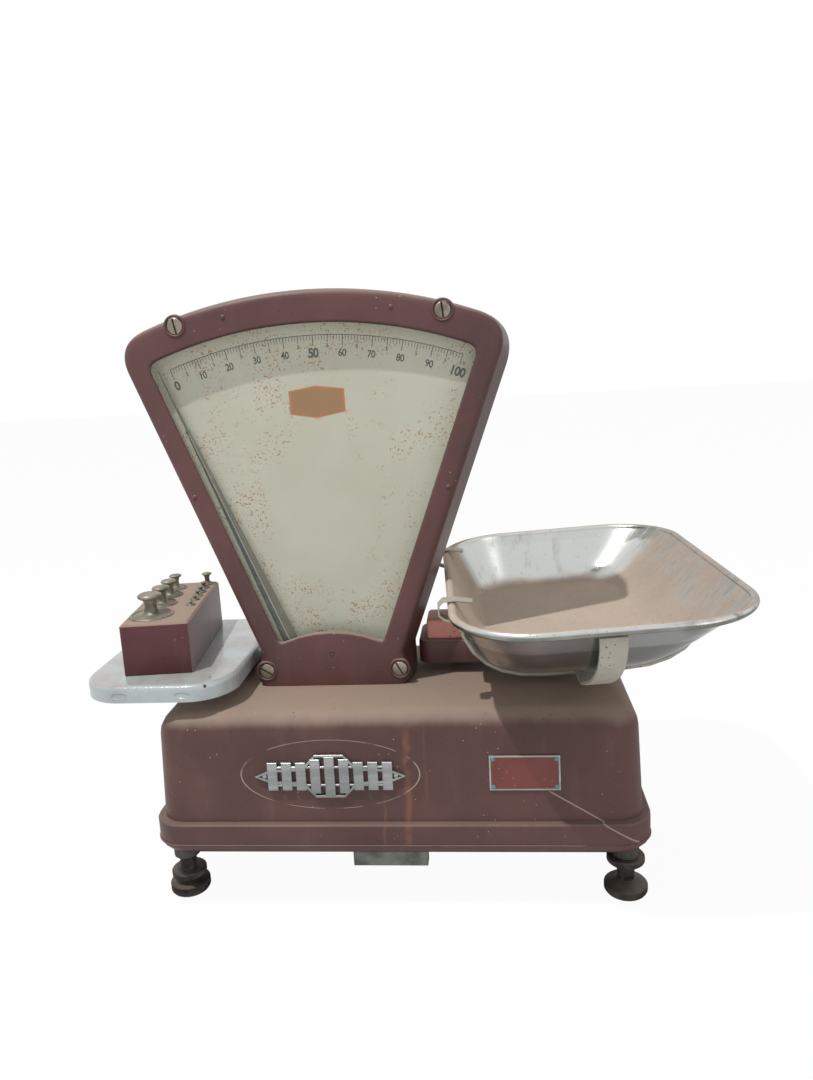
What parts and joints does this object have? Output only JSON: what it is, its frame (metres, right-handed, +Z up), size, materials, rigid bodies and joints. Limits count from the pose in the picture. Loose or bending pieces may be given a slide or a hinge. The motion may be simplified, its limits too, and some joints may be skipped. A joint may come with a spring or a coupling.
{
  "type": "two-pan fan-dial counter scale",
  "caption": "Counter scale with a fan-shaped dial head on a drafted base, a lift-off goods pan, an enamelled plate with a box of knob weights, and screw feet.",
  "frame": {"origin": "middle of the bounding box, on the surface that the feet stand on", "axes": "+X to the right as the front dial is read, along the base; +Y away from the reader; +Z up"},
  "size_m": [0.5776, 0.3462, 0.5435],
  "materials": {
    "maroon_paint": "satin hammered maroon enamel, dusty on level faces, rust-streaked",
    "box_paint": "dark maroon paint on wood, dust on the top",
    "dial_paint": "matt cream-grey paint with fine rust specks",
    "window_glass": "clear, slightly dusty",
    "white_enamel": "glossy stoved enamel, chipped",
    "polished_aluminium": "polished, streaked, dusty floor",
    "brushed_aluminium": "brushed and slightly dull",
    "bright_steel": "machined",
    "blackened_steel": "blackened and knurled",
    "cast_iron": "as cast, grey primer",
    "dull_brass": "dull, tarnished",
    "strap_paint": "cream-grey paint with rust spots",
    "pointer_paint": "dark grey-green paint",
    "plate_red": "red printed aluminium plate",
    "tare_red": "faded red paint",
    "stamp_zinc": "grey, scratched"
  },
  "bodies": {
    "base": {"base_casing": "maroon_paint", "chassis": "cast_iron", "front_head_shell": "maroon_paint", "rear_head_shell": "maroon_paint", "front_glass": "window_glass", "rear_glass": "window_glass", "front_dial": "dial_paint", "rear_dial": "dial_paint", "emblem": "brushed_aluminium", "rating_plate": "plate_red", "stamp_block": "stamp_zinc", "foot_left_head_screw": "bright_steel", "foot_right_head_screw": "bright_steel", "top_left_head_screw": "bright_steel", "top_right_head_screw": "bright_steel", "fulcrum_bracket": "cast_iron", "shaft_bracket": "cast_iron", "dashpot_cylinder": "bright_steel"},
    "beam": {"balance_beam": "bright_steel", "beam_knife_pin": "blackened_steel"},
    "link": {"check_link": "bright_steel"},
    "pointer": {"pointer_shaft": "bright_steel", "tape_drum": "dull_brass", "pendulum": "cast_iron", "front_pointer": "pointer_paint", "rear_pointer": "pointer_paint"},
    "goods_carrier": {"right_post": "bright_steel", "right_cover": "maroon_paint", "pan_bracket": "strap_paint", "long_strap": "strap_paint", "cross_strap": "strap_paint", "tape_arm": "bright_steel", "steel_tape": "bright_steel", "tare_box": "tare_red"},
    "weights_carrier": {"left_post": "bright_steel", "left_cover": "maroon_paint", "weights_plate": "white_enamel"},
    "damper": {"dashpot_piston": "bright_steel"},
    "box": {"weight_box": "box_paint"},
    "pan": {"goods_pan": "polished_aluminium", "front_clip": "strap_paint", "rear_clip": "strap_paint"},
    "weight_1": {"weight_1": "dull_brass"},
    "weight_2": {"weight_2": "dull_brass"},
    "weight_3": {"weight_3": "dull_brass"},
    "weight_4": {"weight_4": "dull_brass"},
    "weight_5": {"weight_5": "dull_brass"},
    "weight_6": {"weight_6": "dull_brass"},
    "weight_7": {"weight_7": "dull_brass"},
    "weight_8": {"weight_8": "dull_brass"},
    "weight_9": {"weight_9": "dull_brass"},
    "weight_10": {"weight_10": "dull_brass"},
    "left_front_foot": {"left_front_foot": "blackened_steel"},
    "left_front_nut": {"left_front_lock_nut": "blackened_steel"},
    "left_rear_foot": {"left_rear_foot": "blackened_steel"},
    "left_rear_nut": {"left_rear_lock_nut": "blackened_steel"},
    "right_front_foot": {"right_front_foot": "blackened_steel"},
    "right_front_nut": {"right_front_lock_nut": "blackened_steel"},
    "right_rear_foot": {"right_rear_foot": "blackened_steel"},
    "right_rear_nut": {"right_rear_lock_nut": "blackened_steel"}
  },
  "joints": [
    {"name": "beam_swing", "type": "hinge", "parent": "base", "child": "beam", "pos_m": [-0.06875, 0.02991, 0.0995], "axis": [0, 1, 0], "range_deg": [0, 3.5]},
    {"name": "link_swing", "type": "hinge", "parent": "base", "child": "link", "pos_m": [-0.06875, 0.02991, 0.0795], "axis": [0, 1, 0], "range_deg": [0, 3.5]},
    {"name": "pointer_turn", "type": "hinge", "parent": "base", "child": "pointer", "pos_m": [-0.06875, 0.00191, 0.1215], "axis": [0, 1, 0], "range_deg": [0, 42]},
    {"name": "goods_side_travel", "type": "slide", "parent": "base", "child": "goods_carrier", "axis": [0, 0, 1], "range_m": [-0.00704, 0]},
    {"name": "weights_side_travel", "type": "slide", "parent": "base", "child": "weights_carrier", "axis": [0, 0, 1], "range_m": [0, 0.00704]},
    {"name": "damper_travel", "type": "slide", "parent": "base", "child": "damper", "axis": [0, 0, 1], "range_m": [-0.00367, 0]},
    {"name": "pan_lift", "type": "slide", "parent": "goods_carrier", "child": "pan", "axis": [0.4226, 0, 0.9063], "range_m": [0, 0.12]},
    {"name": "box_lift", "type": "slide", "parent": "weights_carrier", "child": "box", "axis": [-0.4226, 0, 0.9063], "range_m": [0, 0.12]},
    {"name": "weight_1_lift", "type": "slide", "parent": "box", "child": "weight_1", "axis": [0, 0, 1], "range_m": [0, 0.04]},
    {"name": "weight_2_lift", "type": "slide", "parent": "box", "child": "weight_2", "axis": [0, 0, 1], "range_m": [0, 0.04]},
    {"name": "weight_3_lift", "type": "slide", "parent": "box", "child": "weight_3", "axis": [0, 0, 1], "range_m": [0, 0.04]},
    {"name": "weight_4_lift", "type": "slide", "parent": "box", "child": "weight_4", "axis": [0, 0, 1], "range_m": [0, 0.04]},
    {"name": "weight_5_lift", "type": "slide", "parent": "box", "child": "weight_5", "axis": [0, 0, 1], "range_m": [0, 0.04]},
    {"name": "weight_6_lift", "type": "slide", "parent": "box", "child": "weight_6", "axis": [0, 0, 1], "range_m": [0, 0.04]},
    {"name": "weight_7_lift", "type": "slide", "parent": "box", "child": "weight_7", "axis": [0, 0, 1], "range_m": [0, 0.04]},
    {"name": "weight_8_lift", "type": "slide", "parent": "box", "child": "weight_8", "axis": [0, 0, 1], "range_m": [0, 0.04]},
    {"name": "weight_9_lift", "type": "slide", "parent": "box", "child": "weight_9", "axis": [0, 0, 1], "range_m": [0, 0.04]},
    {"name": "weight_10_lift", "type": "slide", "parent": "box", "child": "weight_10", "axis": [0, 0, 1], "range_m": [0, 0.04]},
    {"name": "left_front_foot_screw", "type": "slide", "parent": "base", "child": "left_front_foot", "axis": [0, 0, -1], "range_m": [0, 0.01]},
    {"name": "left_front_nut_screw", "type": "slide", "parent": "left_front_foot", "child": "left_front_nut", "axis": [0, 0, 1], "range_m": [0, 0.0135]},
    {"name": "left_rear_foot_screw", "type": "slide", "parent": "base", "child": "left_rear_foot", "axis": [0, 0, -1], "range_m": [0, 0.01]},
    {"name": "left_rear_nut_screw", "type": "slide", "parent": "left_rear_foot", "child": "left_rear_nut", "axis": [0, 0, 1], "range_m": [0, 0.0135]},
    {"name": "right_front_foot_screw", "type": "slide", "parent": "base", "child": "right_front_foot", "axis": [0, 0, -1], "range_m": [0, 0.01]},
    {"name": "right_front_nut_screw", "type": "slide", "parent": "right_front_foot", "child": "right_front_nut", "axis": [0, 0, -1], "range_m": [0, 0.015]},
    {"name": "right_rear_foot_screw", "type": "slide", "parent": "base", "child": "right_rear_foot", "axis": [0, 0, -1], "range_m": [0, 0.01]},
    {"name": "right_rear_nut_screw", "type": "slide", "parent": "right_rear_foot", "child": "right_rear_nut", "axis": [0, 0, -1], "range_m": [0, 0.015]}
  ],
  "couplings": [
    {"joint": "link_swing", "follows": "beam_swing", "ratio": 1},
    {"joint": "pointer_turn", "follows": "beam_swing", "ratio": 12},
    {"joint": "goods_side_travel", "follows": "beam_swing", "m_per_rad": -0.1152},
    {"joint": "weights_side_travel", "follows": "beam_swing", "m_per_rad": 0.1152},
    {"joint": "damper_travel", "follows": "beam_swing", "m_per_rad": -0.06}
  ]
}
